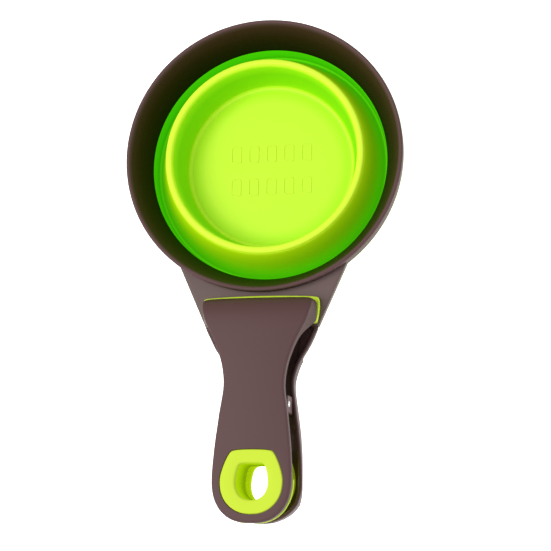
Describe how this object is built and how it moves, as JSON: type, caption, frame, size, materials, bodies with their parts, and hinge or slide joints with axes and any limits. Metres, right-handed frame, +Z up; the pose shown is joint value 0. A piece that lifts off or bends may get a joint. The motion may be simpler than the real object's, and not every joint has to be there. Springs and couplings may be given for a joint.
{
  "type": "collapsible measuring scoop",
  "caption": "Collapsible silicone measuring scoop on a rigid collar; its long handle carries a sprung lever that works as a bag clip",
  "frame": {"origin": "middle of the bounding box on the resting plane", "axes": "+Z is up out of the open cup, the handle runs along -Y from the cup, +X is to the right when the handle points at the viewer"},
  "size_m": [0.122, 0.219, 0.0403],
  "materials": {
    "brown_plastic": "satin dark brown moulded plastic",
    "silicone_lime": "matte lime green silicone",
    "silicone_mid": "matte green silicone, seen through its own thickness",
    "silicone_deep": "matte deep green silicone in the shade of the collar",
    "steel": "bright drawn steel"
  },
  "bodies": {
    "frame": {"scoop_frame": "brown_plastic", "cup_band": "silicone_deep", "cup_fold": "silicone_mid", "frame_jaw_pad": "silicone_lime", "frame_tail_insert": "silicone_lime", "hinge_pin": "steel", "torsion_spring": "steel"},
    "bowl": {"cup_bowl": "silicone_lime"},
    "lever": {"clip_lever": "brown_plastic", "lever_jaw_pad": "silicone_lime", "lever_tail_insert": "silicone_lime"}
  },
  "joints": [
    {"name": "cup_pop", "type": "slide", "parent": "frame", "child": "bowl", "axis": [0, 0, -1], "range_m": [0, 0.0398], "deforming": ["cup_fold"]},
    {"name": "lever_pivot", "type": "hinge", "parent": "frame", "child": "lever", "pos_m": [0, -0.0609, 0.0273], "axis": [1, 0, 0], "range_deg": [0, 12], "stiffness_Nm_per_rad": 1.2, "springref_deg": -20.05, "deforming": ["torsion_spring"]}
  ]
}
